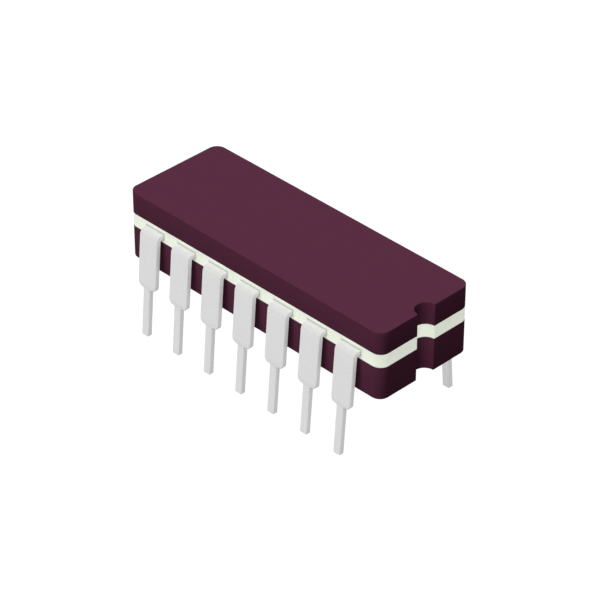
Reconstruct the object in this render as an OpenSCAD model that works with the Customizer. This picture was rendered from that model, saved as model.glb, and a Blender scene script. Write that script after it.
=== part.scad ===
// Ceramic dual in-line package with fourteen leads, sealed with glass.
//
// X runs along the lead rows, towards the notched end. Y runs across them, and Z is up.
// Z = 0 is the plane of the lead tips, and the package is centred on the Z axis.
// Seen from above, lead 1 is at the notch on the +Y side, and the count runs anticlockwise.

/* [Ceramic body] */
// Length of the body along the lead rows
body_len = 19.58; // [18.8:0.01:20.6]
// Width of the body across the lead rows
body_w = 6.8; // [6.2:0.01:7.1]
// Thickness of the base
base_h = 2.06; // [1.6:0.01:2.5]
// Thickness of the lid
lid_h = 1.41; // [1:0.01:1.7]
// Thickness of the glass seal between base and lid
glass_h = 0.82; // [0.6:0.01:1.2]
// Radius of the body's four upright corners
corner_r = 0.6; // [0.2:0.05:0.9]
// Radius of the half-round notch that marks the end with lead 1
notch_r = 0.65; // [0.4:0.05:0.9]

/* [Die cavity] */
// Length of the die cavity in the base
cavity_len = 3.8; // [3.2:0.1:4.6]
// Width of the die cavity in the base
cavity_w = 2.6; // [2.2:0.1:3]
// Depth of the die cavity in the base
cavity_d = 0.5; // [0.45:0.01:0.8]
// Length of the window in the glass above the finger tips, and of the recess in the lid
window_len = 6.2; // [5.4:0.1:7.4]
// Width of that window and recess
window_w = 4.4; // [4:0.1:4.8]
// Depth of the recess in the lid's underside
recess_d = 0.4; // [0.2:0.05:0.7]
// Corner radius of the cavity, the window and the recess
cavity_r = 0.3; // [0.1:0.05:0.5]

/* [Outer leads] */
// Spacing of the leads in a row
pitch = 2.54; // [2.4:0.01:2.6]
// Thickness of the lead strip
lead_t = 0.3; // [0.2:0.01:0.36]
// Width of a lead's blade, from the glass down to the shoulders
blade_w = 1.4; // [1.15:0.01:1.65]
// Width of a lead's pin, below the shoulders
pin_w = 0.51; // [0.36:0.01:0.66]
// Length of a lead's pin, from the shoulders to the tip
pin_len = 3.09; // [2.4:0.01:3.6]
// Height of the base's underside above the lead tips
standoff = 4.08; // [3.7:0.01:4.6]
// Straight length of a lead between the glass and its bend
exit_len = 0.15; // [0.02:0.01:0.3]
// Inside radius of a lead's bend
bend_r = 0.09; // [0.05:0.01:0.3]
// Angle by which the rows lean outwards, in degrees
splay = 4.5; // [0:0.5:12]
// Radius of the blade's two lower corners
shoulder_r = 0.3; // [0.1:0.01:0.4]
// Radius of the inside corner between shoulder and pin
root_r = 0.1; // [0.04:0.01:0.14]
// Radius of the pin's two lower corners
tip_r = 0.08; // [0.02:0.01:0.15]

/* [Inner fingers] */
// Width of a lead behind the glass face, where it starts to narrow
trunk_w = 0.75; // [0.5:0.01:1]
// Depth into the glass at which a blade starts to narrow
neck_in = 0.3; // [0.1:0.05:0.4]
// Length over which it narrows
neck_len = 0.25; // [0.15:0.05:0.4]
// Width of the finger tips round the cavity
finger_w = 0.35; // [0.25:0.01:0.4]
// Spacing of the finger tips along the cavity's short sides
end_step = 0.6; // [0.5:0.01:0.65]
// Spacing of the finger tips along the cavity's long sides
side_step = 1.1; // [0.8:0.05:1.4]
// Distance of the finger tips behind the edge of the cavity
tip_back = 0.05; // [0:0.01:0.15]
// Straight length of the fingers that end at the long sides
side_run = 0.3; // [0.1:0.05:0.5]

/* [Die and bond wires] */
// Length of the silicon die
die_len = 2.2; // [1.6:0.1:2.8]
// Width of the silicon die
die_w = 1.5; // [1.1:0.1:1.9]
// Thickness of the silicon die
die_t = 0.38; // [0.2:0.01:0.4]
// Thickness of the metal layer that holds the die
attach_t = 0.04; // [0.02:0.01:0.08]
// Width of the rim of that layer all round the die
attach_rim = 0.08; // [0.02:0.01:0.2]
// Diameter of the bond wires
wire_d = 0.032; // [0.025:0.001:0.05]
// Height of a wire's loop over the straight line between its ends
loop_h = 0.3; // [0.1:0.01:0.4]
// Length of the flat foot at each end of a wire
foot_len = 0.1; // [0.05:0.01:0.15]
// Distance of the bond pads inside the edge of the die
pad_in = 0.12; // [0.08:0.01:0.2]
// Spacing of the bond pads along the die's short sides
end_pad_step = 0.36; // [0.2:0.01:0.4]
// Spacing of the bond pads along the die's long sides
side_pad_step = 0.7; // [0.4:0.05:0.75]
// Distance of a wire's end behind the tip of its finger
bond_back = 0.3; // [0.2:0.01:0.4]

/* [Hidden] */
$fn = 48;

// Two rows of seven, so row positions run from -3 to 3
row_leads = 7;
row_mid = (row_leads + 1) / 2;

// Heights of the layers
glass_z = standoff + base_h;
lid_z = glass_z + glass_h;
cavity_z = glass_z - cavity_d;
finger_z = glass_z + (glass_h - lead_t) / 2;

// A lead bends down from the straight exit about a line that lies bend_r below it
bend_y = body_w / 2 + exit_len;
bend_z = finger_z - bend_r;
outer_r = bend_r + lead_t;
// Length of the leg that brings its inner lower edge to Z = 0
leg_len = (bend_z + bend_r * sin(splay)) / cos(splay);
blade_len = leg_len - pin_len;
// Length of the flat, as wide as the blade, between the bend and the neck
flat_in = exit_len + neck_in;

// Cut past a face, so that no two faces of a cut coincide
over = 0.1;

// Wires have six sides, and this many steps along the loop
wire_sides = 6;
loop_steps = 8;

// Colours
ceramic_top_c = "#582d41";
ceramic_c = "#4a2236";
glass_c = "#e8eee0";
lead_c = "#d9d9da";
gold_c = "#c9a24b";
silicon_c = "#6d7480";
wire_c = "#d5d7db";

// Row position of lead n, from -3 at the plain end to 3 at the notch
function row_place(n) = n <= row_leads ? row_mid - n : n - row_leads - row_mid;

// Side of the body that lead n is on
function row_side(n) = n <= row_leads ? 1 : -1;

function unit(v) = v / norm(v);

// A rectangle centred on the origin, with round corners
module round_rect(len, wid, r) {
    square([len - 2 * r, wid], center = true);
    square([len, wid - 2 * r], center = true);
    for (x = [-1, 1], y = [-1, 1])
        translate([x * (len / 2 - r), y * (wid / 2 - r)]) circle(r);
}

// Outline that lid, glass and base share
module body_outline() {
    difference() {
        round_rect(body_len, body_w, corner_r);
        translate([body_len / 2, 0]) circle(notch_r);
    }
}

// Base: a pressed plate with the die cavity in its upper face
module ceramic_base() {
    color(ceramic_c)
    difference() {
        translate([0, 0, standoff]) linear_extrude(base_h) body_outline();
        translate([0, 0, cavity_z]) linear_extrude(cavity_d + over) round_rect(cavity_len, cavity_w, cavity_r);
    }
}

// Lid: a pressed plate with a shallow recess in its underside, over the wires
module ceramic_lid() {
    color(ceramic_top_c)
    difference() {
        translate([0, 0, lid_z]) linear_extrude(lid_h) body_outline();
        translate([0, 0, lid_z - over]) linear_extrude(recess_d + over) round_rect(window_len, window_w, cavity_r);
    }
}

// Glass seal: fused between base and lid, with a channel round every lead.
// It is open over the cavity, and above the finger tips it is open as wide as the lid's recess.
module glass_seal() {
    color(glass_c)
    difference() {
        translate([0, 0, glass_z]) linear_extrude(glass_h) body_outline();
        translate([0, 0, glass_z - over]) linear_extrude(glass_h + 2 * over) round_rect(cavity_len, cavity_w, cavity_r);
        translate([0, 0, finger_z]) linear_extrude(glass_h) round_rect(window_len, window_w, cavity_r);
        for (n = [1 : 2 * row_leads]) place_lead(n) lead_flat(row_place(n));
    }
}

// Place across a short side of the finger and the pad at row position k, in steps from the middle
function end_row(k) = row_leads / 2 - abs(k);

// Midline of the flat part of the lead at row position k, from outside the glass to its finger tip.
// Each point holds x, y and the strip's width there.
function flat_path(k) =
    let (
        s = sign(k),
        x = k * pitch,
        neck_y = body_w / 2 - neck_in,
        trunk_y = neck_y - neck_len,
        row_y = end_row(k) * end_step,
        side_y = cavity_w / 2 + tip_back,
        end_x = cavity_len / 2 + tip_back,
        knee = abs(k) <= 1
            ? [k * side_step, side_y + side_run]
            : [s * (abs(x) - trunk_y + row_y), row_y],
        tip = abs(k) <= 1 ? [k * side_step, side_y] : [s * end_x, row_y]
    )
    [
        [x, body_w / 2 + exit_len / 2, blade_w],
        [x, neck_y, blade_w],
        [x, trunk_y, trunk_w],
        [knee[0], knee[1], finger_w],
        [tip[0], tip[1], finger_w]
    ];

// Offset of one edge of a strip from point i of its midline, mitred where the strip turns
function edge_offset(path, i) =
    let (
        p = [for (q = path) [q[0], q[1]]],
        before = i == 0 ? p[1] - p[0] : p[i] - p[i - 1],
        after = i == len(p) - 1 ? before : p[i + 1] - p[i],
        a = unit(before),
        b = unit(after),
        mitre = unit(a + b)
    )
    path[i][2] / 2 / (mitre * a) * [-mitre[1], mitre[0]];

// Outline of a strip with the given midline
function strip_outline(path) = concat(
    [for (i = [0 : len(path) - 1]) [path[i][0], path[i][1]] + edge_offset(path, i)],
    [for (i = [len(path) - 1 : -1 : 0]) [path[i][0], path[i][1]] - edge_offset(path, i)]
);

// Flat part of a lead: straight out of the bend, narrowed in the glass, fanned to the cavity
module lead_flat(k) {
    translate([0, 0, finger_z]) linear_extrude(lead_t) polygon(strip_outline(flat_path(k)));
}

// Outline of a leg: wide blade, round shoulders, narrow pin.
// It is drawn with the leg's length along -Y, and reaches up past the bend.
module leg_outline() {
    top = outer_r + flat_in;
    translate([-blade_w / 2, shoulder_r - blade_len]) square([blade_w, blade_len - shoulder_r + top]);
    translate([shoulder_r - blade_w / 2, -blade_len]) square([blade_w - 2 * shoulder_r, blade_len]);
    translate([-pin_w / 2, tip_r - leg_len]) square([pin_w, leg_len - tip_r]);
    translate([tip_r - pin_w / 2, -leg_len]) square([pin_w - 2 * tip_r, leg_len]);
    for (s = [-1, 1]) {
        translate([s * (blade_w / 2 - shoulder_r), shoulder_r - blade_len]) circle(shoulder_r);
        translate([s * (pin_w / 2 - tip_r), tip_r - leg_len]) circle(tip_r);
        translate([s * pin_w / 2, -blade_len]) root_fillet(s);
    }
}

// Round inside corner between a shoulder and the pin
module root_fillet(s) {
    difference() {
        translate([s > 0 ? -over : -root_r, -root_r]) square([root_r + over, root_r + over]);
        translate([s * root_r, -root_r]) circle(root_r);
    }
}

// Side view of all that lies under a surface at the distance r from the bend's middle:
// level over the body, round the bend, and down the lean of the leg
module under_surface(r) {
    reach = leg_len + outer_r;
    translate([-reach, -reach]) square([reach, reach + r]);
    circle(r);
    rotate(splay) translate([-reach, -reach]) square([reach + r, reach]);
}

// Side view of the bent strip, with the bend's middle at the origin
module strip_side() {
    reach = leg_len + outer_r;
    intersection() {
        translate([-flat_in, -reach]) square([flat_in + reach, 2 * reach]);
        difference() {
            under_surface(outer_r);
            under_surface(bend_r);
        }
    }
}

// Exit, bend and leg of a lead at x = 0: the bent strip, stamped to the leg's outline
module lead_drop() {
    strip_w = blade_w + 2 * over;
    translate([0, bend_y, bend_z]) intersection() {
        rotate([90, 0, 90]) translate([0, 0, -strip_w / 2]) linear_extrude(strip_w) strip_side();
        rotate([90 + splay, 0, 0]) translate([0, 0, -2 * outer_r]) linear_extrude(2 * (outer_r + flat_in)) leg_outline();
    }
}

// Puts a lead that is drawn for the +Y side where lead n goes
module place_lead(n) {
    if (row_side(n) > 0) children();
    else mirror([0, 1, 0]) children();
}

// Lead n: one strip, from its finger tip through the glass and the bend to the pin
module lead(n) {
    color(lead_c)
    place_lead(n) {
        lead_flat(row_place(n));
        translate([row_place(n) * pitch, 0, 0]) lead_drop();
    }
}

// Metal layer between the die and the cavity floor
module die_attach() {
    color(gold_c)
    translate([-die_len / 2 - attach_rim, -die_w / 2 - attach_rim, cavity_z])
        cube([die_len + 2 * attach_rim, die_w + 2 * attach_rim, attach_t]);
}

// Silicon die
module silicon_die() {
    color(silicon_c)
    translate([-die_len / 2, -die_w / 2, cavity_z + attach_t]) cube([die_len, die_w, die_t]);
}

// Bond pad on the die for the lead at row position k on the +Y side
function pad_place(k) =
    abs(k) <= 1
        ? [k * side_pad_step, die_w / 2 - pad_in]
        : [sign(k) * (die_len / 2 - pad_in), end_row(k) * end_pad_step];

// Place on the finger of that lead where its wire ends
function bond_place(k) =
    let (path = flat_path(k), tip = path[len(path) - 1])
    abs(k) <= 1 ? [tip[0], tip[1] + bond_back] : [tip[0] + sign(k) * bond_back, tip[1]];

// Route of a bond wire: a foot along the die, a parabola over the gap, and a foot on the finger.
// Height above the straight line is 4 loop_h t (1 - t) at the share t of the way.
function wire_path(k) =
    let (
        r = wire_d / 2,
        pad = pad_place(k),
        bond = bond_place(k),
        a = [pad[0], pad[1], cavity_z + attach_t + die_t + r],
        b = [bond[0], bond[1], finger_z + lead_t + r],
        along = unit([bond[0] - pad[0], bond[1] - pad[1], 0])
    )
    concat(
        [a - foot_len / 2 * along, a + foot_len / 2 * along],
        [for (i = [1 : loop_steps - 1])
            let (t = i / loop_steps)
            (a + foot_len / 2 * along) * (1 - t) + (b - foot_len / 2 * along) * t
                + [0, 0, 4 * loop_h * t * (1 - t)]],
        [b - foot_len / 2 * along, b + foot_len / 2 * along]
    );

// Ring of points round point i of a route that lies in one upright plane
function wire_ring(path, i) =
    let (
        last = len(path) - 1,
        ahead = unit(path[min(i + 1, last)] - path[max(i - 1, 0)]),
        flat = unit([path[last][0] - path[0][0], path[last][1] - path[0][1], 0]),
        side = [-flat[1], flat[0], 0],
        up = cross(ahead, side)
    )
    [for (j = [0 : wire_sides - 1])
        let (a = 360 * (j + 0.5) / wire_sides)
        path[i] + wire_d / 2 * (cos(a) * side + sin(a) * up)];

// Bond wire of lead n
module bond_wire(n) {
    path = wire_path(row_place(n));
    points = [for (i = [0 : len(path) - 1]) each wire_ring(path, i)];
    count = len(path);
    walls = [for (i = [0 : count - 2], j = [0 : wire_sides - 1])
        let (k = (j + 1) % wire_sides)
        [i * wire_sides + j, i * wire_sides + k, (i + 1) * wire_sides + k, (i + 1) * wire_sides + j]];
    first_end = [for (j = [wire_sides - 1 : -1 : 0]) j];
    last_end = [for (j = [0 : wire_sides - 1]) (count - 1) * wire_sides + j];
    color(wire_c)
    place_lead(n) polyhedron(points, concat(walls, [first_end, last_end]));
}

ceramic_base();
ceramic_lid();
glass_seal();
die_attach();
silicon_die();
lead(1);  // lead_01
lead(2);  // lead_02
lead(3);  // lead_03
lead(4);  // lead_04
lead(5);  // lead_05
lead(6);  // lead_06
lead(7);  // lead_07
lead(8);  // lead_08
lead(9);  // lead_09
lead(10);  // lead_10
lead(11);  // lead_11
lead(12);  // lead_12
lead(13);  // lead_13
lead(14);  // lead_14
bond_wire(1);  // bond_wire_01
bond_wire(2);  // bond_wire_02
bond_wire(3);  // bond_wire_03
bond_wire(4);  // bond_wire_04
bond_wire(5);  // bond_wire_05
bond_wire(6);  // bond_wire_06
bond_wire(7);  // bond_wire_07
bond_wire(8);  // bond_wire_08
bond_wire(9);  // bond_wire_09
bond_wire(10);  // bond_wire_10
bond_wire(11);  // bond_wire_11
bond_wire(12);  // bond_wire_12
bond_wire(13);  // bond_wire_13
bond_wire(14);  // bond_wire_14
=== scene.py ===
"""Looks of a ceramic dual in-line package with fourteen leads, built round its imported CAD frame.

Lengths are in millimetres up to the point where a mesh is made, and in metres from there on.
X runs along the lead rows towards the notched end, Y across them and Z up. Z = 0 is the floor under
the lead tips. Lead n is at row position k, from -3 at the plain end to 3 at the notch.
"""

import math

import bpy
import numpy as np
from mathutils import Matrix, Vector


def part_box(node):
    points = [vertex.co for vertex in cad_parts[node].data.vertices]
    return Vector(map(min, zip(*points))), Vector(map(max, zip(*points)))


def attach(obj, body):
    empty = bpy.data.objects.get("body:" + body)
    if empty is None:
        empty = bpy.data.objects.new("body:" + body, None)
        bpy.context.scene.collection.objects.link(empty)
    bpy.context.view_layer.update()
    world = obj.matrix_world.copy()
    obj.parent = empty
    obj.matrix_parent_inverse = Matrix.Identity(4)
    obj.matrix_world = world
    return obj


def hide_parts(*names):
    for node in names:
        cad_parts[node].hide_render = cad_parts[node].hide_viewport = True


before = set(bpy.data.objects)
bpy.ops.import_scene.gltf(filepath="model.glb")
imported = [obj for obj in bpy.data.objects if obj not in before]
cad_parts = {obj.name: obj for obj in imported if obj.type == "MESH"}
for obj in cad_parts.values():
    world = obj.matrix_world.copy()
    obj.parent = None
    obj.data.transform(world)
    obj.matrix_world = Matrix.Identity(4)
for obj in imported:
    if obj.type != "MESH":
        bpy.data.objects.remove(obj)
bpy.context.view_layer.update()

MM = 0.001


def node_box(node):
    """Lowest and highest corner of a CAD node, in millimetres to the nearest micrometre."""
    return np.round(np.array(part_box(node)) / MM, 3).tolist()


# Body, die and the metal layer under it, from the frame
base_low, base_high = node_box("ceramic_base")
lid_low, lid_high = node_box("ceramic_lid")
die_low, die_high = node_box("silicon_die")
attach_low, attach_high = node_box("die_attach")
BODY_LEN = base_high[0] - base_low[0]
BODY_W = base_high[1] - base_low[1]
BASE_Z = base_low[2]
GLASS_Z = base_high[2]
LID_Z = lid_low[2]
TOP_Z = lid_high[2]
GLASS_T = LID_Z - GLASS_Z
DIE = (die_high[0] - die_low[0], die_high[1] - die_low[1])
DIE_Z = die_low[2]
DIE_TOP = die_high[2]
CAVITY_Z = attach_low[2]
ATTACH = (attach_high[0] - attach_low[0], attach_high[1] - attach_low[1])

# Corners and hollows of the body, as in the part's source
CORNER_R = 0.6
NOTCH_R = 0.65
CAVITY = (3.8, 2.6)
CAVITY_R = 0.3
WINDOW = (6.2, 4.4)
RECESS_Z = 7.36

# Leads, as in the part's source
ROW_LEADS = 7
PITCH = 2.54
LEAD_T = 0.3
BLADE_W = 1.4
PIN_W = 0.51
PIN_LEN = 3.09
EXIT_LEN = 0.15
BEND_R = 0.09
SPLAY = 4.5
SHOULDER_R = 0.3
ROOT_R = 0.1
TIP_R = 0.08
TRUNK_W = 0.75
NECK_IN = 0.3
NECK_LEN = 0.25
FINGER_W = 0.35
END_STEP = 0.6
SIDE_STEP = 1.1
TIP_BACK = 0.05
SIDE_RUN = 0.3
LAST_PLACE = ROW_LEADS // 2
PLACES = range(-LAST_PLACE, LAST_PLACE + 1)
FINGER_Z = (GLASS_Z + LID_Z - LEAD_T) / 2

# Bend of a lead: its start along the strip, and its middle line's radius, angle in radians and length
BEND_START = BODY_W / 2 + EXIT_LEN
BEND_MIDDLE_R = BEND_R + LEAD_T / 2
BEND_TURN = math.radians(90 - SPLAY)
BEND_RUN = BEND_MIDDLE_R * BEND_TURN

# Wires, as in the part's source
WIRE_D = 0.032
LOOP_H = 0.3
FOOT_LEN = 0.1
PAD_IN = 0.12
END_PAD_STEP = 0.36
SIDE_PAD_STEP = 0.7
BOND_BACK = 0.3

# Edges that only the looks have, as radii, and how far a plate's edge radius varies
PRESSED_EDGE = 0.025
PRESSED_UNEVEN = 0.22
NOTCH_EDGE = 0.035
ROLLED_EDGE = 0.045
BURR_EDGE = 0.02

# Other fine forms: taper of the cut strip, fall of a shoulder towards the pin's root, and the dip in the
# glass with the share by which it varies
SHEAR_TAPER = 0.008
SHOULDER_FALL = 0.004
GLASS_DIP = 0.006
DIP_UNEVEN = 0.3

# Inside: gold film on the cavity floor, poured joint under the die, the die's own edges, and bond pads. The
# joint's rim waves as along an outline of the die with corners of JOINT_WAVE_R
FILM_GAP = 0.05
FILM_R = 0.25
FILM_T = 0.006
FILM_EDGE = 0.002
JOINT_R = 0.12
JOINT_EDGE = 0.018
JOINT_IN = 0.015
JOINT_WAVE = 0.012
JOINT_WAVE_R = 0.1
DIE_R = 0.012
DIE_EDGE = 0.005
PAD = (0.11, 0.1)
PAD_R = 0.01
PAD_RISE = 0.002
PAD_EDGE = 0.001

# Marks that follow the shape, each as pairs of a place and the mark's strength there: darkening of the glass
# by the distance from the ceramic, painted shade on a lead by the share of its bend and by the distance from
# the glass, and how flat the wedge has pressed a wire by the steps from its end
CERAMIC_DARKENING = ((0, 0.16), (0.03, 0.11), (0.08, 0))
BEND_PAINTED_SHADE = ((-0.3, 0.15), (0.1, 0.2), (0.45, 0.55), (0.8, 0.45), (1.0, 0))
EXIT_PAINTED_SHADE = ((0.04, 1), (0.1, 0))
WEDGE_PRESS = ((0, 0.6), (1, 1), (5, 1), (9, 0))

# Share of its radius by which a wire pressed quite flat is lower and wider
WEDGE_FLAT = 0.5

# Wear over the rows round a plate's edge, and the mark of shearing over the rows of a strip's edge
PRESSED_WEAR = (0, 0.6, 1, 0.6, 0)
SHEAR_MARK = (0, 0.3, 0.6, 0.9, 1, 1, 0.9, 0.6, 0)

# Distance over which the painted shade round a lead fades, and shift of a lead's marks along the strip from
# those of the lead before it
RING_REACH = 0.06
MARKS_APART = 7.0

# Points along the curves, and steps along the walls
CORNER_POINTS = 12
NOTCH_POINTS = 12
NOTCH_EDGE_POINTS = 6
END_POINTS = 12
FAR_END_POINTS = 15
EDGE_POINTS = 5
WALL_STEP = 0.2
GLASS_STEP = 0.3
SHOULDER_POINTS = 10
PIN_CORNER_POINTS = 6
STRAIGHT_POINTS = 6
EXIT_POINTS = 3
BEND_POINTS = 13
BURR_POINTS = 4
SLAB_POINTS = 38
SLAB_LOWER_POINTS = 3
SLAB_UPPER_POINTS = 4
PAD_POINTS = 2
FOOT_POINTS = 7
LOOP_POINTS = 23
WIRE_SIDES = 12

# Where the glass's wall is sampled more closely: distances from a lead's edge, from the ceramic, and from a
# lead's face towards the middle of the strip. Nothing is sampled within CORNER_GAP of a round corner
NEAR_EDGE = (0, 0.02, 0.04, 0.06, 0.08, 0.1, 0.2, 0.3, 0.4, 0.5)
NEAR_CERAMIC = (0, 0.015, 0.05, 0.1, 0.15, 0.19, 0.22)
NEAR_FACE = (-0.02, 0, 0.02, 0.06, 0.11)
CORNER_GAP = 0.01

# Angle in degrees over which the edge between two faces stays sharp
SHARP_ANGLE = 40.0

# Ripple of pressed and poured edges: waves round an outline, the sum's usual reach, and a seed for each
RIPPLE_WAVES = np.array([3, 7, 12, 19, 31, 47, 71, 113])
RIPPLE_REACH = 0.8
LID_SEED = 11
BASE_SEED = 23
GLASS_SEED = 37
JOINT_SEED = 5

# Colours, as linear red, green and blue
CERAMIC_TONES = ((0.0930, 0.0243, 0.0495), (0.0960, 0.0251, 0.0511))
CERAMIC_SPECK = (0.045, 0.012, 0.024)
CERAMIC_WORN = (0.135, 0.050, 0.080)
GLASS_TONES = ((0.82, 0.875, 0.745), (0.86, 0.905, 0.785))
GLASS_BUBBLE = (0.60, 0.64, 0.52)
# Painted shade round the leads, also used for the darker glass along the ceramic
GLASS_SHADE_AND_DARKENING = (0.25, 0.27, 0.22)
PLATING_TONES = ((0.67, 0.67, 0.67), (0.70, 0.70, 0.70))
PLATING_LINE = (0.60, 0.60, 0.60)
# Painted shade on the leads, over the bend and at the root by the glass
PLATING_PAINTED_SHADE = (0.42, 0.43, 0.41)
PLATING_SHEARED = (0.66, 0.66, 0.66)
GOLD_TONES = ((0.78, 0.52, 0.18), (0.87, 0.66, 0.30))
SILICON_TONES = ((0.12, 0.12, 0.13), (0.2, 0.2, 0.21))
BLOCK_COLOURS = ((0.10, 0.17, 0.26), (0.27, 0.20, 0.30), (0.62, 0.60, 0.52))
TRACK_COLOURS = ((0, 0, 0), (0.3, 0.3, 0.3), (1, 1, 1))
TRACK_METAL = (0.66, 0.68, 0.66)
ALUMINIUM_TONES = ((0.74, 0.75, 0.77), (0.86, 0.87, 0.88))

# Width of each surface's grain or lines, and depth of its relief
CERAMIC_GRAIN = 0.035
CERAMIC_RELIEF = 0.004
GLASS_GRAIN = 0.03
GLASS_RELIEF = 0.0015
PLATING_LINES = 0.03
PLATING_RELIEF = 0.002
GOLD_GRAIN = 0.015
GOLD_RELIEF = 0.002
SILICON_GRAIN = 0.01
SILICON_RELIEF = 0.0003
ALUMINIUM_LINES = 0.008
ALUMINIUM_RELIEF = 0.0004

# Wiring on the die: joint, length and height of a block and of a track, and the shift of every other row as
# a share of the length
BLOCKS = (0.01, 0.21, 0.13)
BLOCK_SHIFT = 0.37
TRACKS = (0.0025, 0.045, 0.016)
TRACK_SHIFT = 0.5

# Waves of the coarse noise and of the drift to one wave of the fine grain, dents to one rolled line, and
# waves along a line to one across it. Last, the dents' depth to that of the lines
COARSE_WAVES = 0.28
DRIFT_WAVES = 0.04
DENT_WAVES = 0.22
LINE_WAVES = 0.035
DENT_DEPTH = 2.0

# Ranges that hold most of one noise, and most of the grain's height, which is the sum of two. The others
# are where specks, worn spots and lines begin and are full, and where a face counts as the die's top
NOISE_SPAN = (0.3, 0.7)
HEIGHT_SPAN = (0.7, 1.3)
SPECK_SPAN = (0.1, 0.2)
WORN_SPAN = (0.7, 1.2)
LINE_SPAN = (0.35, 0.7)
TOP_SPAN = (0.6, 0.9)

# How strongly each mark covers what is under it
SPECK_COVER = 0.35
WORN_COVER = 0.12
BUBBLE_COVER = 0.22
LINE_COVER = 0.2
SHEARED_COVER = 0.8
TRACK_COVER = 0.45

# Roughness of each surface, over the range of the noise that it follows, and of the die from sides to top
CERAMIC_ROUGH = (0.80, 0.90)
GLASS_ROUGH = (0.30, 0.42)
PLATING_ROUGH = (0.46, 0.56)
GOLD_ROUGH = (0.28, 0.48)
SILICON_ROUGH = (0.5, 0.16)
ALUMINIUM_ROUGH = (0.22, 0.36)

# Camera, fitted to the photograph's edges
CAMERA_AZIMUTH = 45.428
CAMERA_ELEVATION = 35.064
CAMERA_DISTANCE = 160.49
CAMERA_TARGET = (1.226, -0.86, 5.109)
SENSOR = 36.0
IMAGE_SIDE = 600
FOCAL_PIXELS = 2946.9
CLIP_START = 10.0
CLIP_END = 10000.0

# Light. Directions are azimuth and elevation, as for the camera
LAMP_SPREAD = 34.0
KEY_FROM = (0.0, 58.3)
KEY_STRENGTH = 2.9
BACK_FROM = (208.0, 20.0)
BACK_STRENGTH = 1.1
BRIGHT_FROM = ((58.0, 18.0), (120.0, 18.0), (238.0, 18.0), (300.0, 18.0))
BRIGHT_STRENGTH = 1.0
ROOM_SEEN = 1.02
ROOM_ON_MATT = 0.12
FLOOR_TONE = 0.03
FLOOR_HALF = 3000.0


def direction(azimuth, elevation):
    """Unit vector towards azimuth A and elevation E: (sin A cos E, -cos A cos E, sin E)."""
    a = math.radians(azimuth)
    e = math.radians(elevation)
    return Vector((math.sin(a) * math.cos(e), -math.cos(a) * math.cos(e), math.sin(e)))


def unit(vectors):
    """Vectors of length 1 along the given ones."""
    return vectors / np.linalg.norm(vectors, axis=-1, keepdims=True)


def strength(place, pairs):
    """Strength of a mark at a place, straight between the given pairs of place and strength."""
    return np.interp(place, *zip(*pairs))


def shares(points):
    """As many shares from 1 to -1, evenly apart, its two ends left out."""
    return np.linspace(1, -1, points + 2)[1:-1]


# Outlines of the body and of its cavities

def arc(middle, radius, start, end, points):
    """Points on an arc and the unit vectors away from its middle, from angle start to end in degrees."""
    a = np.radians(np.linspace(start, end, points))
    way = np.column_stack([np.cos(a), np.sin(a)])
    return np.array(middle) + radius * way, way


def half_end(x, reach, notch):
    """Half of the +X end, from its middle up to y = reach, as points and outward directions.

    A notch is an arc about the end's middle. Its edge is rounded with NOTCH_EDGE: that rounding's middle
    lies NOTCH_EDGE inside the end and notch + NOTCH_EDGE from the notch's middle. With and without a notch
    there are as many points, so that one outline can be joined to another point by point.
    """
    if not notch:
        count = NOTCH_POINTS + NOTCH_EDGE_POINTS - 1 + END_POINTS
        rise = np.linspace(0, reach, count + 1)[:-1]
        return np.column_stack([np.full(count, x), rise]), np.tile([1.0, 0.0], (count, 1))
    lift = math.sqrt(notch ** 2 + 2 * notch * NOTCH_EDGE)
    turn = math.degrees(math.atan2(lift, -NOTCH_EDGE))
    hollow, inward = arc((x, 0), notch, 180, turn, NOTCH_POINTS)
    edge, edge_out = arc((x - NOTCH_EDGE, lift), NOTCH_EDGE, turn - 180, 0, NOTCH_EDGE_POINTS)
    rise = np.linspace(lift, reach, END_POINTS + 2)[1:-1]
    flat = np.column_stack([np.full(END_POINTS, x), rise])
    flat_out = np.tile([1.0, 0.0], (END_POINTS, 1))
    return np.vstack([hollow, edge[1:], flat]), np.vstack([-inward, edge_out[1:], flat_out])


def outline(length, width, radius, share, notch=0.0):
    """Round rectangle, anticlockwise from the middle of its +X end, as points and outward directions. The
    long sides are sampled at the given shares of their straight part, from 1 to -1."""
    x = length / 2
    y = width / 2
    end, end_out = half_end(x, y - radius, notch)
    near, near_out = arc((x - radius, y - radius), radius, 0, 90, CORNER_POINTS)
    side = np.column_stack([share * (x - radius), np.full(len(share), y)])
    side_out = np.tile([0.0, 1.0], (len(share), 1))
    far, far_out = arc((radius - x, y - radius), radius, 90, 180, CORNER_POINTS)
    fall = np.linspace(y - radius, 0, FAR_END_POINTS + 1)[1:]
    plain = np.column_stack([np.full(FAR_END_POINTS, -x), fall])
    plain_out = np.tile([-1.0, 0.0], (FAR_END_POINTS, 1))
    points = np.vstack([end, near, side, far, plain])
    out = np.vstack([end_out, near_out, side_out, far_out, plain_out])
    mirrored = np.array([1.0, -1.0])
    return np.vstack([points, points[-2:0:-1] * mirrored]), np.vstack([out, out[-2:0:-1] * mirrored])


def body_outline(share):
    """Outline that lid, glass and base have in common."""
    return outline(BODY_LEN, BODY_W, CORNER_R, share, NOTCH_R)


def ripple(shape, seed):
    """Irregular number between about -1 and 1 along an outline: a sum of sines of the length along it, each
    with one of RIPPLE_WAVES round the outline, the square root of that as divisor, and a phase that the
    seed sets."""
    step = np.linalg.norm(np.diff(shape[0], axis=0, append=shape[0][:1]), axis=1)
    along = np.cumsum(step)
    phase = np.random.default_rng(seed).uniform(0, 2 * np.pi, len(RIPPLE_WAVES))
    sines = np.sin(2 * np.pi * RIPPLE_WAVES * along[:, None] / along[-1] + phase)
    return (sines / np.sqrt(RIPPLE_WAVES)).sum(1) / RIPPLE_REACH


def row(shape, z, inset=0.0):
    """Points of an outline at the height z, moved inwards by inset. Both may vary along it."""
    points, out = shape
    inset = np.broadcast_to(inset, len(points))
    return np.column_stack([points - out * inset[:, None], np.broadcast_to(z, len(points))])


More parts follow.
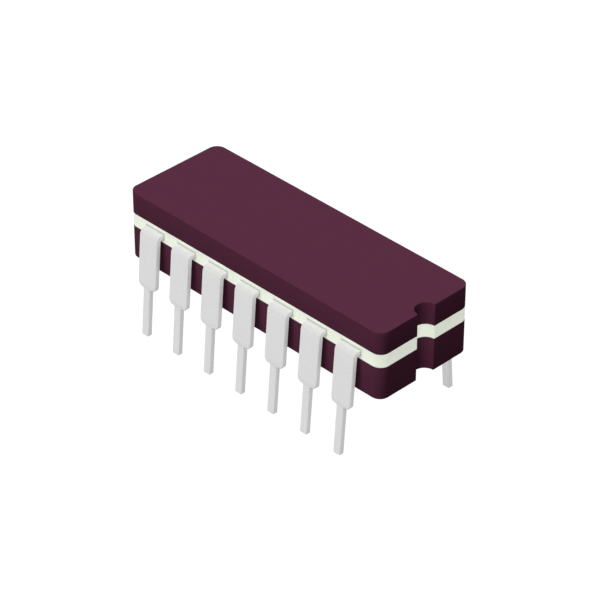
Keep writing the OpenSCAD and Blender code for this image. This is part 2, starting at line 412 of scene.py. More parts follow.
def edge_rows(shape, radius, z, upper, count=EDGE_POINTS, inset=0.0):
    """Rows round an edge of a wall, bottom to top: at the angle a from the wall, a point is
    inset + radius (1 - cos a) inside the outline and radius (1 - sin a) from the face at the height z."""
    a = np.radians(np.linspace(0, 90, count))
    if not upper:
        a = a[::-1]
    side = -1 if upper else 1
    return [row(shape, z + side * radius * (1 - math.sin(t)), inset + radius * (1 - math.cos(t))) for t in a]


# Meshes

def skin(rows, ring=False):
    """Faces over rows of points that each go once round. In a ring the last row joins the first one.
    Otherwise one flat face closes the first row and another the last."""
    rows = np.array(rows)
    count, around = rows.shape[:2]
    grid = np.arange(count * around).reshape(count, around)
    if ring:
        grid = np.vstack([grid, grid[:1]])
    beside = np.roll(grid, -1, axis=1)
    quads = np.stack([grid[:-1], beside[:-1], beside[1:], grid[1:]], -1).reshape(-1, 4)
    return rows.reshape(-1, 3), [quads] if ring else [quads, grid[:1, ::-1], grid[-1:]]


def outward(points, faces):
    """The faces with every corner order turned round if they enclose a negative volume, which is the
    sum of a . (b x c) / 6 over their triangles."""
    volume = 0.0
    for f in faces:
        for i in range(1, f.shape[1] - 1):
            a, b, c = points[f[:, 0]], points[f[:, i]], points[f[:, i + 1]]
            volume += np.einsum("ij,ij->i", a, np.cross(b, c)).sum() / 6
    return faces if volume > 0 else [f[:, ::-1] for f in faces]


def make_piece(name, points, faces, slot, material, nodes=(), sheet=None, **marks):
    """Object on the body root, made of numpy points in millimetres. It takes the place of the given CAD
    nodes. sheet is a flat position for each point, kept as a UV map, and each mark is a number for each
    point, kept as an attribute."""
    mesh = bpy.data.meshes.new(name)
    corners = [f for group in outward(points, faces) for f in group.tolist()]
    mesh.from_pydata((points * MM).tolist(), [], corners)
    mesh.update()
    if sheet is not None:
        at_corner = np.zeros(len(mesh.loops), np.int32)
        mesh.loops.foreach_get("vertex_index", at_corner)
        flat = mesh.uv_layers.new(name="sheet")
        flat.data.foreach_set("uv", sheet[at_corner].astype(np.float32).ravel())
    for mark, value in marks.items():
        kept = mesh.attributes.new(mark, "FLOAT", "POINT")
        kept.data.foreach_set("value", value.astype(np.float32))
    mesh.shade_smooth()
    mesh.set_sharp_from_angle(angle=math.radians(SHARP_ANGLE))
    mesh.materials.append(material)
    piece = bpy.data.objects.new(name, mesh)
    bpy.context.scene.collection.objects.link(piece)
    weighted = piece.modifiers.new("even_normals", "WEIGHTED_NORMAL")
    weighted.keep_sharp = True
    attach(piece, "root")
    if nodes:
        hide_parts(*nodes)
    return piece


# Materials

def put(tree, kind, values=None, **settings):
    """Adds a node. values gives its inputs by name, each a plain value or another node's output."""
    node = tree.nodes.new(kind)
    for name, value in settings.items():
        setattr(node, name, value)
    for name, value in (values or {}).items():
        if isinstance(value, bpy.types.NodeSocket):
            tree.links.new(value, node.inputs[name])
        else:
            node.inputs[name].default_value = value
    return node


def blend(tree, share, first, second):
    """Colour between first and second by share. A colour is a linear triple or another node's output."""
    first, second = [c if isinstance(c, bpy.types.NodeSocket) else (*c, 1.0) for c in (first, second)]
    return put(tree, "ShaderNodeMix", {0: share, 6: first, 7: second}, data_type="RGBA").outputs[2]


def math_step(tree, operation, a, b):
    """One arithmetic step between two numbers."""
    return put(tree, "ShaderNodeMath", {0: a, 1: b}, operation=operation).outputs[0]


def ramp(tree, value, given, wanted=(0.0, 1.0)):
    """Value carried smoothly from the given range over to the wanted one."""
    values = {"Value": value, "From Min": given[0], "From Max": given[1],
              "To Min": wanted[0], "To Max": wanted[1]}
    return put(tree, "ShaderNodeMapRange", values, interpolation_type="SMOOTHSTEP").outputs[0]


def noise(tree, place, scale, detail, rough):
    """Noise around 0.5, with scale as waves per unit of the place."""
    values = {"Vector": place, "Scale": scale, "Detail": detail, "Roughness": rough}
    return put(tree, "ShaderNodeTexNoise", values).outputs[0]


def new_group(name, size, outputs):
    """Empty node group that takes a place and a size and puts out numbers. Returns its tree, the inputs as
    they come in and the outputs to be filled."""
    tree = bpy.data.node_groups.new(name, "ShaderNodeTree")
    for label, kind in (("Place", "NodeSocketVector"), (size, "NodeSocketFloat")):
        tree.interface.new_socket(name=label, in_out="INPUT", socket_type=kind)
    for label in outputs:
        tree.interface.new_socket(name=label, in_out="OUTPUT", socket_type="NodeSocketFloat")
    return tree, tree.nodes.new("NodeGroupInput").outputs, tree.nodes.new("NodeGroupOutput").inputs


def grain_group():
    """Pressed or sintered grain: two sizes of noise as a height, sparse specks, and slow drifts of tone."""
    tree, given, out = new_group("sintered_grain", "Grain Size", ("Height", "Specks", "Drift"))
    fine = math_step(tree, "DIVIDE", 1.0, given["Grain Size"])
    coarse = math_step(tree, "MULTIPLY", fine, COARSE_WAVES)
    slow = math_step(tree, "MULTIPLY", fine, DRIFT_WAVES)
    small = noise(tree, given["Place"], fine, detail=2.0, rough=0.6)
    large = noise(tree, given["Place"], coarse, detail=2.0, rough=0.5)
    drift = noise(tree, given["Place"], slow, detail=3.0, rough=0.55)
    cells = put(tree, "ShaderNodeTexVoronoi", {"Vector": given["Place"], "Scale": coarse}).outputs["Distance"]
    tree.links.new(math_step(tree, "ADD", small, large), out["Height"])
    tree.links.new(ramp(tree, cells, SPECK_SPAN, (1.0, 0.0)), out["Specks"])
    tree.links.new(drift, out["Drift"])
    return tree


def strip_group():
    """Marks of rolled and stamped strip, on the flat position along it: long thin lines, and small dents."""
    tree, given, out = new_group("strip_marks", "Line Width", ("Lines", "Dents"))
    stretch = (1.0, LINE_WAVES, 1.0)
    drawn = put(tree, "ShaderNodeMapping", {"Vector": given["Place"], "Scale": stretch}).outputs[0]
    per_line = math_step(tree, "DIVIDE", 1.0, given["Line Width"])
    per_dent = math_step(tree, "MULTIPLY", per_line, DENT_WAVES)
    tree.links.new(noise(tree, drawn, per_line, detail=3.0, rough=0.6), out["Lines"])
    tree.links.new(noise(tree, given["Place"], per_dent, detail=2.0, rough=0.5), out["Dents"])
    return tree


def use_group(tree, group, values):
    """A group's node with its own values. Returns its outputs."""
    return put(tree, "ShaderNodeGroup", values, node_tree=group).outputs


def start_material(name):
    """Empty material. Returns it with its tree and the object's own coordinates in metres."""
    made = bpy.data.materials.new(name)
    made.use_nodes = True
    made.node_tree.nodes.clear()
    return made, made.node_tree, put(made.node_tree, "ShaderNodeTexCoord").outputs["Object"]


def finish_material(tree, values):
    """Principled shader with the given inputs, put out as the surface."""
    shader = put(tree, "ShaderNodeBsdfPrincipled", values).outputs[0]
    put(tree, "ShaderNodeOutputMaterial", {"Surface": shader})


def bump(tree, height, depth):
    """Normal of a surface that rises by depth, in millimetres, where the height goes from 0 to 1."""
    return put(tree, "ShaderNodeBump", {"Height": height, "Distance": depth * MM, "Strength": 1.0}).outputs[0]


def mark_of(tree, mark):
    """The number that the mesh keeps for each point under a name."""
    return put(tree, "ShaderNodeAttribute", attribute_name=mark).outputs["Fac"]


def ceramic_material(grain):
    """Pressed and fired alumina, purple-brown: matt, with fine grain, dark specks and worn edges."""
    made, tree, place = start_material("pressed_ceramic")
    marks = use_group(tree, grain, {"Place": place, "Grain Size": CERAMIC_GRAIN * MM})
    body = blend(tree, ramp(tree, marks["Drift"], NOISE_SPAN), *CERAMIC_TONES)
    speckled = blend(tree, math_step(tree, "MULTIPLY", marks["Specks"], SPECK_COVER), body, CERAMIC_SPECK)
    rubbed = ramp(tree, marks["Height"], WORN_SPAN, (0.0, WORN_COVER))
    worn = blend(tree, math_step(tree, "MULTIPLY", mark_of(tree, "edge"), rubbed), speckled, CERAMIC_WORN)
    rough = ramp(tree, marks["Drift"], NOISE_SPAN, CERAMIC_ROUGH)
    finish_material(tree, {"Base Color": worn, "Roughness": rough, "Specular IOR Level": 0.02,
                           "Normal": bump(tree, marks["Height"], CERAMIC_RELIEF)})
    return made


def glass_material(grain):
    """Fused sealing glass, pale green-white: satin, with gas bubbles, darker along the ceramic, and with
    painted shade round the leads.
    """
    made, tree, place = start_material("sealing_glass")
    marks = use_group(tree, grain, {"Place": place, "Grain Size": GLASS_GRAIN * MM})
    pale = blend(tree, ramp(tree, marks["Drift"], NOISE_SPAN), *GLASS_TONES)
    bubbled = blend(tree, math_step(tree, "MULTIPLY", marks["Specks"], BUBBLE_COVER), pale, GLASS_BUBBLE)
    # Darker along the ceramic, and painted shade round each lead where it leaves the glass
    shaded_and_darkened = blend(tree, mark_of(tree, "edge"), bubbled, GLASS_SHADE_AND_DARKENING)
    rough = ramp(tree, marks["Height"], HEIGHT_SPAN, GLASS_ROUGH)
    finish_material(tree, {"Base Color": shaded_and_darkened, "Roughness": rough, "IOR": 1.6,
                           "Normal": bump(tree, marks["Height"], GLASS_RELIEF)})
    return made


def plating_material(strip):
    """Matt tin plating on rolled strip: fine lines along the strip, shallow dents, even sheared edges, and
    painted shade over the bend and at the root by the glass. The strip's UV map is in
    millimetres."""
    made, tree, _ = start_material("tin_plating")
    place = put(tree, "ShaderNodeUVMap", uv_map="sheet").outputs[0]
    marks = use_group(tree, strip, {"Place": place, "Line Width": PLATING_LINES})
    tone = blend(tree, ramp(tree, marks["Dents"], NOISE_SPAN), *PLATING_TONES)
    lined = blend(tree, ramp(tree, marks["Lines"], LINE_SPAN, (0.0, LINE_COVER)), tone, PLATING_LINE)
    # Painted shade over the bend and at the lead's root by the glass
    dulled = blend(tree, mark_of(tree, "dull"), lined, PLATING_PAINTED_SHADE)
    cut = math_step(tree, "MULTIPLY", mark_of(tree, "edge"), SHEARED_COVER)
    sheared = blend(tree, cut, dulled, PLATING_SHEARED)
    rough = ramp(tree, marks["Lines"], NOISE_SPAN, PLATING_ROUGH)
    height = math_step(tree, "ADD", marks["Lines"], math_step(tree, "MULTIPLY", marks["Dents"], DENT_DEPTH))
    finish_material(tree, {"Base Color": sheared, "Metallic": 0.1, "Specular IOR Level": 0.3,
                           "Roughness": rough, "Normal": bump(tree, height, PLATING_RELIEF)})
    return made


def gold_material(grain):
    """Fired gold film and the gold-silicon joint: warm, grainy and half matt."""
    made, tree, place = start_material("fired_gold")
    marks = use_group(tree, grain, {"Place": place, "Grain Size": GOLD_GRAIN * MM})
    tone = blend(tree, ramp(tree, marks["Drift"], NOISE_SPAN), *GOLD_TONES)
    rough = ramp(tree, marks["Height"], HEIGHT_SPAN, GOLD_ROUGH)
    finish_material(tree, {"Base Color": tone, "Metallic": 1.0, "Roughness": rough,
                           "Normal": bump(tree, marks["Height"], GOLD_RELIEF)})
    return made


def bricks(tree, place, joint, length, height, shift, colours):
    """Colour of rows of blocks, with their sizes and the joint's width in millimetres, every other row
    shifted by a share of a block's length. The colours are two for the blocks and one for the joints."""
    values = {"Vector": place, "Scale": 1.0, "Mortar Size": joint * MM, "Brick Width": length * MM,
              "Row Height": height * MM}
    for name, colour in zip(("Color1", "Color2", "Mortar"), colours):
        values[name] = (*colour, 1.0)
    return put(tree, "ShaderNodeTexBrick", values, offset=shift).outputs["Color"]


def silicon_material(grain):
    """Silicon die: blue-grey, its top divided into blocks of fine wiring, and sawn grey at the sides."""
    made, tree, place = start_material("silicon_and_wiring")
    marks = use_group(tree, grain, {"Place": place, "Grain Size": SILICON_GRAIN * MM})
    flat = put(tree, "ShaderNodeMapping", {"Vector": place, "Scale": (1.0, 1.0, 0.0)}).outputs[0]
    block = bricks(tree, flat, *BLOCKS, BLOCK_SHIFT, BLOCK_COLOURS)
    track = bricks(tree, flat, *TRACKS, TRACK_SHIFT, TRACK_COLOURS)
    wired = blend(tree, math_step(tree, "MULTIPLY", track, TRACK_COVER), block, TRACK_METAL)
    sawn = blend(tree, marks["Drift"], *SILICON_TONES)
    normal = put(tree, "ShaderNodeNewGeometry").outputs["Normal"]
    upward = put(tree, "ShaderNodeSeparateXYZ", {0: normal}).outputs["Z"]
    top = ramp(tree, upward, TOP_SPAN)
    rough = ramp(tree, top, (0.0, 1.0), SILICON_ROUGH)
    finish_material(tree, {"Base Color": blend(tree, top, sawn, wired), "Roughness": rough,
                           "Specular IOR Level": 0.8,
                           "Normal": bump(tree, marks["Height"], SILICON_RELIEF)})
    return made


def wire_material(strip):
    """Drawn aluminium wire and sputtered aluminium pads: bright, with faint lines along the drawing."""
    made, tree, place = start_material("drawn_aluminium")
    marks = use_group(tree, strip, {"Place": place, "Line Width": ALUMINIUM_LINES * MM})
    tone = blend(tree, marks["Dents"], *ALUMINIUM_TONES)
    rough = ramp(tree, marks["Lines"], NOISE_SPAN, ALUMINIUM_ROUGH)
    finish_material(tree, {"Base Color": tone, "Metallic": 1.0, "Roughness": rough,
                           "Normal": bump(tree, marks["Lines"], ALUMINIUM_RELIEF)})
    return made


# Ceramic body

def wall_share():
    """Shares of a plate's long side, about WALL_STEP apart."""
    straight = BODY_LEN - 2 * CORNER_R
    return shares(int(straight / WALL_STEP) - 1)


def plate_edges(shape, low, high, seed):
    """Rows up the wall of a pressed plate, round its lower and its upper edge. Where ripple makes one edge's
    radius larger by a share, the other's is smaller by it."""
    uneven = PRESSED_UNEVEN * ripple(shape, seed)
    lower = edge_rows(shape, PRESSED_EDGE * (1 + uneven), low, upper=False)
    upper = edge_rows(shape, PRESSED_EDGE * (1 - uneven), high, upper=True)
    return [*lower, *upper]


def make_lid(material):
    """Lid: rows from the middle of the recess, down its wall, out along the underside, round the lower edge,
    up the wall, round the upper edge and in to the middle of the top."""
    share = wall_share()
    shape = body_outline(share)
    window = outline(*WINDOW, CAVITY_R, share)
    rows = [row(window, RECESS_Z), row(window, LID_Z), *plate_edges(shape, LID_Z, TOP_Z, LID_SEED)]
    points, faces = skin(rows)
    edge = np.repeat([0, 0, *PRESSED_WEAR, *PRESSED_WEAR], len(shape[0]))
    make_piece("lid", points, faces, "ceramic", material, ["ceramic_lid"], edge=edge)


def make_base(material):
    """Base: rows from the middle of the underside, round the lower edge, up the wall, round the upper edge,
    in to the cavity, down its wall and to the middle of its floor."""
    share = wall_share()
    shape = body_outline(share)
    pit = outline(*CAVITY, CAVITY_R, share)
    rows = [*plate_edges(shape, BASE_Z, GLASS_Z, BASE_SEED), row(pit, GLASS_Z), row(pit, CAVITY_Z)]
    points, faces = skin(rows)
    edge = np.repeat([*PRESSED_WEAR, *PRESSED_WEAR, 0, 0], len(shape[0]))
    make_piece("base", points, faces, "ceramic", material, ["ceramic_base"], edge=edge)


def glass_share():
    """Shares of the glass's long side, from 1 to -1: GLASS_STEP apart, and closer on both sides of each edge
    of a lead."""
    straight = BODY_LEN / 2 - CORNER_R
    lead_edges = [k * PITCH + side * BLADE_W / 2 for k in PLACES for side in (-1, 1)]
    near = np.add.outer(lead_edges, [side * away for away in NEAR_EDGE for side in (-1, 1)])
    places = np.concatenate([near.ravel(), np.arange(-straight, straight, GLASS_STEP)])
    places = np.unique(np.round(places, 3))
    places = places[np.abs(places) < straight - CORNER_GAP]
    return places[::-1] / straight


def glass_levels():
    """Heights over the base of the rows up the glass's wall, the upper half a mirror image of the lower."""
    lead_face = (GLASS_T - LEAD_T) / 2
    half = np.array([*NEAR_CERAMIC, *[lead_face + away for away in NEAR_FACE]])
    return np.concatenate([half, GLASS_T - half[::-1]])


def glass_shade_and_darkening(shape, z):
    """Darkening along the wall at the height z over the base: that along the ceramic, or painted shade of
    exp(-d / RING_REACH) at the distance d from a lead, whichever is stronger."""
    points, out = shape
    x = points[:, 0]
    nearest = PITCH * np.round(np.clip(x / PITCH, -LAST_PLACE, LAST_PLACE))
    beside = np.maximum(np.abs(x - nearest) - BLADE_W / 2, 0)
    above = max(abs(z - GLASS_T / 2) - LEAD_T / 2, 0)
    on_long_side = np.isclose(np.abs(out[:, 1]), 1)
    ring = np.where(on_long_side, np.exp(-np.hypot(beside, above) / RING_REACH), 0)
    return np.maximum(ring, strength(min(z, GLASS_T - z), CERAMIC_DARKENING))


def make_glass(material):
    """Glass seal: a closed ring of rows, up the outer wall, in along the top, down the window and the cavity
    and out along the underside. The wall dips between lid and base by GLASS_DIP 4 t (1 - t) at the share t
    of its height, more or less by a ripple."""
    share = glass_share()
    shape = body_outline(share)
    window = outline(*WINDOW, CAVITY_R, share)
    pit = outline(*CAVITY, CAVITY_R, share)
    swell = 1 + DIP_UNEVEN * ripple(shape, GLASS_SEED)
    levels = glass_levels()
    up = levels / GLASS_T
    dips = GLASS_DIP * 4 * up * (1 - up)
    wall = [row(shape, GLASS_Z + z, dip * swell) for z, dip in zip(levels, dips)]
    inner = [row(window, LID_Z), row(window, FINGER_Z), row(pit, FINGER_Z), row(pit, GLASS_Z)]
    points, faces = skin([*wall, *inner], ring=True)
    # Darker along the ceramic, and painted shade round the leads
    shade_and_darkening = [glass_shade_and_darkening(shape, z) for z in levels]
    edge = np.concatenate([*shade_and_darkening, np.zeros(len(inner) * len(shade_and_darkening[0]))])
    return make_piece("glass", points, faces, "seal_glass", material, ["glass_seal"], edge=edge)


# Leads

def lead_place(n):
    """Row position of lead n, and its side: 1 for +Y, where the count runs away from the notch, and -1."""
    middle = LAST_PLACE + 1
    return (middle - n, 1) if n <= ROW_LEADS else (n - ROW_LEADS - middle, -1)


def at_long_side(k):
    """Whether the lead at row position k ends at a long side of the cavity, as the middle three do."""
    return abs(k) <= 1


def end_place(k, step):
    """Place across a short side of the finger or pad at row position k, with step between neighbours."""
    return (ROW_LEADS / 2 - abs(k)) * step


def finger_path(k):
    """Middle line of the flat part at row position k, from the finger tip over its knee to where the blade
    starts to narrow behind the glass face: x, y and width at each point."""
    neck_y = BODY_W / 2 - NECK_IN
    trunk_y = neck_y - NECK_LEN
    x = k * PITCH
    if at_long_side(k):
        tip = (k * SIDE_STEP, CAVITY[1] / 2 + TIP_BACK)
        knee = (tip[0], tip[1] + SIDE_RUN)
    else:
        s = math.copysign(1, k)
        tip = (s * (CAVITY[0] / 2 + TIP_BACK), end_place(k, END_STEP))
        knee = (s * (abs(x) - trunk_y + tip[1]), tip[1])
    return np.array([(*tip, FINGER_W), (*knee, FINGER_W), (x, trunk_y, TRUNK_W), (x, neck_y, BLADE_W)])


def straight_edge(half, start, end):
    """Points at the half width half, from length start to end along the leg, its ends left out, with their
    outward directions."""
    lengths = np.linspace(start, end, STRAIGHT_POINTS + 2)[1:-1]
    points = np.column_stack([np.full(STRAIGHT_POINTS, half), lengths])
    return points, np.tile([1.0, 0.0], (STRAIGHT_POINTS, 1))


def leg_edge():
    """Right edge of the leg as half widths, lengths along the leg and outward directions: down the blade,
    a quarter circle at the shoulder, a hollow quarter circle at the root, the pin, and its round corner.
    The leg is longer by SHEAR_TAPER, which its tapered end loses again, so that the tip reaches the table."""
    lean = math.radians(SPLAY)
    leg = (FINGER_Z - BEND_R + BEND_R * math.sin(lean)) / math.cos(lean) + SHEAR_TAPER
    blade = leg - PIN_LEN
    side, side_out = straight_edge(BLADE_W / 2, 0, blade - SHOULDER_R)
    middle = (BLADE_W / 2 - SHOULDER_R, blade - SHOULDER_R)
    shoulder, shoulder_out = arc(middle, SHOULDER_R, 0, 90, SHOULDER_POINTS)
    middle = (PIN_W / 2 + ROOT_R, blade + ROOT_R + SHOULDER_FALL)
    root, root_in = arc(middle, ROOT_R, 270, 180, PIN_CORNER_POINTS)
    pin, pin_out = straight_edge(PIN_W / 2, blade + ROOT_R, leg - TIP_R)
    corner, corner_out = arc((PIN_W / 2 - TIP_R, leg - TIP_R), TIP_R, 0, 90, PIN_CORNER_POINTS)
    edge = np.vstack([side, shoulder, root, pin, corner])
    return edge, np.vstack([side_out, shoulder_out, -root_in, pin_out, corner_out])


def mitres(edge, side):
    """For each point of an open line, the vector along which an inset of 1 moves both lines that meet there
    by 1: (a + b) / (1 + a . b) for their unit normals a and b, on the right for side 1."""
    along = unit(np.diff(edge, axis=0))
    normal = side * np.column_stack([along[:, 1], -along[:, 0]])
    before = np.vstack([normal[:1], normal])
    after = np.vstack([normal, normal[-1:]])
    return (before + after) / (1 + np.einsum("ij,ij->i", before, after))[:, None]


def lead_blank(k):
    """Flat blank of the lead at row position k, before it is bent: the right and left edge from the finger
    tip to the pin's end, as points and inset vectors. The second coordinate is the length along the strip,
    which equals y inside the glass."""
    path = finger_path(k)
    middle = path[:, :2]
    half = mitres(middle, 1) * path[:, 2:] / 2
    exit_run = np.linspace(middle[-1, 1], BEND_START, EXIT_POINTS + 1)[1:]
    bend_run = BEND_START + np.linspace(0, BEND_RUN, BEND_POINTS + 1)[1:]
    run = np.concatenate([exit_run, bend_run])
    leg, leg_out = leg_edge()
    edges = []
    for side in (1, -1):
        finger = middle + side * half
        blade = np.column_stack([np.full(len(run), k * PITCH + side * BLADE_W / 2), run])
        lower = np.column_stack([k * PITCH + side * leg[:, 0], BEND_START + BEND_RUN + leg[:, 1]])
        edge = np.vstack([finger, blade, lower])
        inset = mitres(edge, side)
        inset[0] -= unit(middle[1] - middle[0])
        inset[-len(leg):] = leg_out * (side, 1)
        edges.append((edge, inset))
    return edges


def fold(flat, height):
    """Bends flat strip points (x, q) at a height over the strip's middle into place.

    Up to the bend y = q and z is level. Round the bend the angle is (q - BEND_START) / BEND_MIDDLE_R, and
    the point lies BEND_MIDDLE_R + height from the bend's middle. Beyond it the strip runs straight down the
    lean.
    """
    q = flat[:, 1] - BEND_START
    angle = np.clip(q / BEND_MIDDLE_R, 0, BEND_TURN)
    before = np.minimum(q, 0)
    after = np.maximum(q - BEND_RUN, 0)
    reach = BEND_MIDDLE_R + height
    y = BEND_START + reach * np.sin(angle) + before + after * np.cos(angle)
    z = FINGER_Z - BEND_R + reach * np.cos(angle) - after * np.sin(angle)
    return np.column_stack([flat[:, 0], y, z])


def strip_profile():
    """Profile of the strip's edge from its upper to its lower face, as insets and heights: a quarter circle
    that the punch has rolled, a cut that tapers by SHEAR_TAPER, and a small quarter circle below."""
    a = np.radians(np.linspace(90, 0, EDGE_POINTS))
    b = np.radians(np.linspace(0, 90, BURR_POINTS))
    rolled_in = ROLLED_EDGE * (1 - np.cos(a))
    burr_in = SHEAR_TAPER + BURR_EDGE * (1 - np.cos(b))
    rolled_z = LEAD_T / 2 - ROLLED_EDGE * (1 - np.sin(a))
    burr_z = BURR_EDGE * (1 - np.sin(b)) - LEAD_T / 2
    return np.concatenate([rolled_in, burr_in]), np.concatenate([rolled_z, burr_z])


def strip_end(ring):
    """Faces that close one end of a strip, each between two levels of its right and left edge."""
    levels = len(ring) // 2
    mates = ring[::-1]
    return np.column_stack([ring[:levels - 1], mates[:levels - 1], mates[1:levels], ring[1:levels]])


def make_lead(n, material):
    """Lead n: its blank's edges carry the strip's edge profile, and the whole is folded into place. The rows
    go round right edge, underside, left edge and upper side, and the two ends are closed with strips."""
    k, side = lead_place(n)
    inset, height = strip_profile()
    right, left = [edge[:, None] - way[:, None] * inset[:, None] for edge, way in lead_blank(k)]
    flat = np.concatenate([right, left[:, ::-1]], axis=1)
    count, around = flat.shape[:2]
    flat = flat.reshape(-1, 2)
    rise = np.tile([*height, *height[::-1]], count)
    points = fold(flat, rise) * (1, side, 1)
    points, (quads, first, last) = skin(points.reshape(count, around, 3))
    faces = [quads, strip_end(first[0, ::-1])[:, ::-1], strip_end(last[0])]
    edge = np.tile([*SHEAR_MARK, *SHEAR_MARK[::-1]], count)
    # Painted shade on the outer face: most over the middle and lower part of the bend, and at the root by the
    # glass
    bend_shade = strength((flat[:, 1] - BEND_START) / BEND_RUN, BEND_PAINTED_SHADE) * (rise > 0)
    root_shade = strength(flat[:, 1] - BODY_W / 2, EXIT_PAINTED_SHADE)
    return make_piece("lead_strip_%02d" % n, points, faces, "lead_plating", material, ["lead_%02d" % n],
                      sheet=flat + (0, MARKS_APART * n), edge=edge, dull=np.maximum(bend_shade, root_shade))


# Die and wires

def slab_rows(size, radius, low, high, edge, share, inset=0.0):
    """Rows of a flat slab with round corners and edges, its outline drawn in by inset, for skin."""
    shape = outline(*size, radius, share)
    lower = edge_rows(shape, edge, low, upper=False, count=SLAB_LOWER_POINTS, inset=inset)
    upper = edge_rows(shape, edge, high, upper=True, count=SLAB_UPPER_POINTS, inset=inset)
    return [*lower, *upper]


def pad_place(k):
    """Middle of the bond pad for row position k on the +Y side."""
    if at_long_side(k):
        return k * SIDE_PAD_STEP, DIE[1] / 2 - PAD_IN
    return math.copysign(DIE[0] / 2 - PAD_IN, k), end_place(k, END_PAD_STEP)


def make_inside(gold, silicon, wire):
    """Cavity film, die attach, die and pads: slabs with rounded edges, the poured one with a wavy outline."""
    share = shares(SLAB_POINTS)
    floor_size = (CAVITY[0] - 2 * FILM_GAP, CAVITY[1] - 2 * FILM_GAP)
    wavy = JOINT_IN + JOINT_WAVE * ripple(outline(*DIE, JOINT_WAVE_R, share), JOINT_SEED)
    film = slab_rows(floor_size, FILM_R, CAVITY_Z, CAVITY_Z + FILM_T, FILM_EDGE, share)
    joint = slab_rows(ATTACH, JOINT_R, CAVITY_Z, DIE_Z, JOINT_EDGE, share, wavy)
    chip = slab_rows(DIE, DIE_R, DIE_Z, DIE_TOP, DIE_EDGE, share)
    for name, rows, slot, material, nodes in (
            ("cavity_film", film, "gold", gold, []),
            ("die_joint", joint, "gold", gold, ["die_attach"]),
            ("die", chip, "silicon", silicon, ["silicon_die"])):
        points, faces = skin(rows)
        make_piece(name, points, faces, slot, material, nodes)
    low = DIE_TOP - PAD_RISE
    high = DIE_TOP + PAD_RISE
    one, faces = skin(slab_rows(PAD, PAD_R, low, high, PAD_EDGE, shares(PAD_POINTS)))
    places = np.array([(*pad_place(k), 0) for k in PLACES])
    places = np.vstack([places, places * (1, -1, 1)])
    points = (one + places[:, None]).reshape(-1, 3)
    starts = len(one) * np.arange(len(places))[:, None, None]
    make_piece("bond_pads", points, [(f + starts).reshape(-1, f.shape[1]) for f in faces], "bond_wire", wire)


def wire_path(k):
    """Underside of the bond wire for row position k on the +Y side, and its level direction: a foot on the
    pad, a parabola and a foot on the finger. At the share t of the loop it is 4 LOOP_H t (1 - t) over the
    straight line."""
    tip = finger_path(k)[0, :2]
    back = (0, 1) if at_long_side(k) else (math.copysign(1, k), 0)
    start = np.array([*pad_place(k), DIE_TOP + PAD_RISE])
    end = np.array([*(tip + BOND_BACK * np.array(back)), FINGER_Z + LEAD_T])
    ahead = unit((end - start) * (1, 1, 0))
    foot = FOOT_LEN / 2 * ahead
    t = np.linspace(0, 1, LOOP_POINTS + 2)[1:-1, None]
    loop = (start + foot) * (1 - t) + (end - foot) * t + 4 * LOOP_H * t * (1 - t) * (0, 0, 1)
    along_foot = foot * np.linspace(-1, 1, FOOT_POINTS)[:, None]
    return np.vstack([start + along_foot, loop, end + along_foot]), ahead


def make_wire(n, material):
    """Bond wire of lead n: a tube along its path, lying on its underside. Where the wedge has pressed it
    flat it is lower and as much wider."""
    k, side = lead_place(n)
    path, ahead = wire_path(k)
    steps = np.arange(len(path))
    pressed = strength(np.minimum(steps, steps[::-1]), WEDGE_PRESS)
    high = WIRE_D / 2 * (1 - WEDGE_FLAT * pressed)
    wide = WIRE_D / 2 * (1 + WEDGE_FLAT * pressed)
    path[:, 2] += high
    beside = np.array([-ahead[1], ahead[0], 0])
    up = np.cross(unit(np.gradient(path, axis=0)), beside)
    turn = np.linspace(0, 2 * np.pi, WIRE_SIDES + 1)[:-1]
    across = np.outer(wide, np.cos(turn))[..., None] * beside
    rise = np.outer(high, np.sin(turn))[..., None] * up[:, None]
    points, faces = skin((path[:, None] + across + rise) * (1, side, 1))
    make_piece("wire_%02d" % n, points, faces, "bond_wire", material, ["bond_wire_%02d" % n])


# Floor, light and camera

def room_glow(tree):
    """Strength of the room's own light: ROOM_SEEN for the camera and the metal, and ROOM_ON_MATT for the rays
    that light matt surfaces, so that the sides of the body keep their shade in a pale room."""
    matt = put(tree, "ShaderNodeLightPath").outputs["Is Diffuse Ray"]
    return ramp(tree, matt, (0.0, 1.0), (ROOM_SEEN, ROOM_ON_MATT))


def make_floor():
    """Pale lit table: it glows and is a little grey besides, so that the object's shadows on it stay faint.
    From below it can be looked through."""
    half = FLOOR_HALF * MM
    mesh = bpy.data.meshes.new("floor")
    corners = [(-half, -half, 0), (half, -half, 0), (half, half, 0), (-half, half, 0)]
    mesh.from_pydata(corners, [], [(0, 1, 2, 3)])
    made = bpy.data.materials.new("pale_floor")
    made.use_nodes = True
    tree = made.node_tree
    tree.nodes.clear()
    grey = put(tree, "ShaderNodeBsdfDiffuse", {"Color": (FLOOR_TONE, FLOOR_TONE, FLOOR_TONE, 1)}).outputs[0]
    lit = put(tree, "ShaderNodeEmission", {"Color": (1, 1, 1, 1), "Strength": room_glow(tree)}).outputs[0]
    front = put(tree, "ShaderNodeAddShader", {0: grey, 1: lit}).outputs[0]
    clear = put(tree, "ShaderNodeBsdfTransparent").outputs[0]
    behind = put(tree, "ShaderNodeNewGeometry").outputs["Backfacing"]
    both = put(tree, "ShaderNodeMixShader", {0: behind, 1: front, 2: clear}).outputs[0]
    put(tree, "ShaderNodeOutputMaterial", {"Surface": both})
    made.cycles.emission_sampling = "NONE"
    mesh.materials.append(made)
    floor = bpy.data.objects.new("floor", mesh)
    bpy.context.scene.collection.objects.link(floor)


def make_lamp(name, comes_from, energy):
    """Wide soft lamp far away in a direction."""
    data = bpy.data.lights.new(name, "SUN")
    data.energy = energy
    data.angle = math.radians(LAMP_SPREAD)
    lamp = bpy.data.objects.new(name, data)
    lamp.rotation_mode = "QUATERNION"
    lamp.rotation_quaternion = direction(*comes_from).to_track_quat("Z", "Y")
    bpy.context.scene.collection.objects.link(lamp)
    return lamp


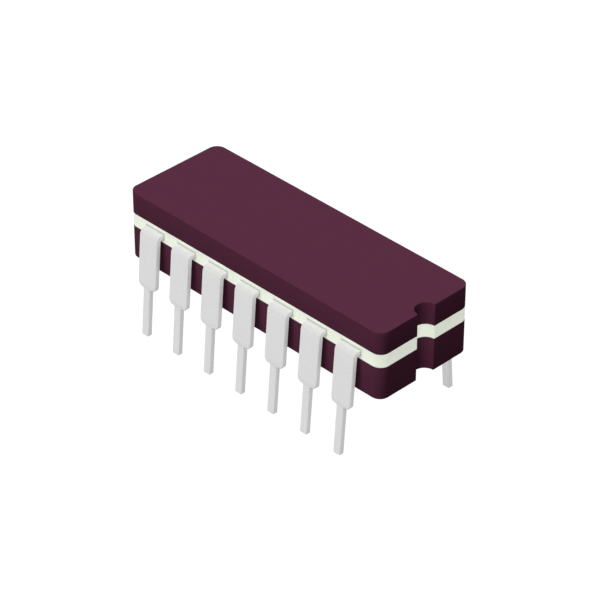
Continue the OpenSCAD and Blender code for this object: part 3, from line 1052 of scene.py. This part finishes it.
def make_light(glass, leads):
    """Key from the near side, high up, that throws the leads' shadows only and no highlight, a weaker lamp
    from behind, four low lamps that only glass and leads take, and an even pale room."""
    throwers = bpy.data.collections.new("leads")
    takers = bpy.data.collections.new("glass_and_leads")
    takers.objects.link(glass)
    for piece in leads:
        throwers.objects.link(piece)
        takers.objects.link(piece)
    key = make_lamp("key", KEY_FROM, KEY_STRENGTH)
    key.light_linking.blocker_collection = throwers
    key.visible_glossy = False
    make_lamp("back", BACK_FROM, BACK_STRENGTH)
    for number, comes_from in enumerate(BRIGHT_FROM, 1):
        lamp = make_lamp("bright_%d" % number, comes_from, BRIGHT_STRENGTH)
        lamp.light_linking.receiver_collection = takers
        lamp.data.use_shadow = False
        lamp.visible_glossy = False
    world = bpy.data.worlds.new("room")
    world.use_nodes = True
    world.cycles.sampling_method = "NONE"
    tree = world.node_tree
    tree.nodes.clear()
    shown = put(tree, "ShaderNodeBackground", {"Color": (1, 1, 1, 1), "Strength": room_glow(tree)}).outputs[0]
    put(tree, "ShaderNodeOutputWorld", {"Surface": shown})
    bpy.context.scene.world = world


def make_camera():
    """Camera at the photograph's viewing angle, with the focal length that was fitted to its edges."""
    data = bpy.data.cameras.new("camera")
    data.sensor_width = SENSOR
    data.lens = FOCAL_PIXELS / IMAGE_SIDE * SENSOR
    data.clip_start = CLIP_START * MM
    data.clip_end = CLIP_END * MM
    camera = bpy.data.objects.new("camera", data)
    back = direction(CAMERA_AZIMUTH, CAMERA_ELEVATION)
    camera.location = (Vector(CAMERA_TARGET) + back * CAMERA_DISTANCE) * MM
    camera.rotation_mode = "QUATERNION"
    camera.rotation_quaternion = back.to_track_quat("Z", "Y")
    bpy.context.scene.collection.objects.link(camera)
    bpy.context.scene.camera = camera


make_camera()
make_floor()
bpy.context.scene.view_settings.view_transform = "Standard"

sintered = grain_group()
rolled = strip_group()
ceramic = ceramic_material(sintered)
plating = plating_material(rolled)
aluminium = wire_material(rolled)
make_lid(ceramic)
make_base(ceramic)
glass_piece = make_glass(glass_material(sintered))
make_inside(gold_material(sintered), silicon_material(sintered), aluminium)
lead_pieces = []
for number in range(1, 2 * ROW_LEADS + 1):
    lead_pieces.append(make_lead(number, plating))
    make_wire(number, aluminium)
make_light(glass_piece, lead_pieces)
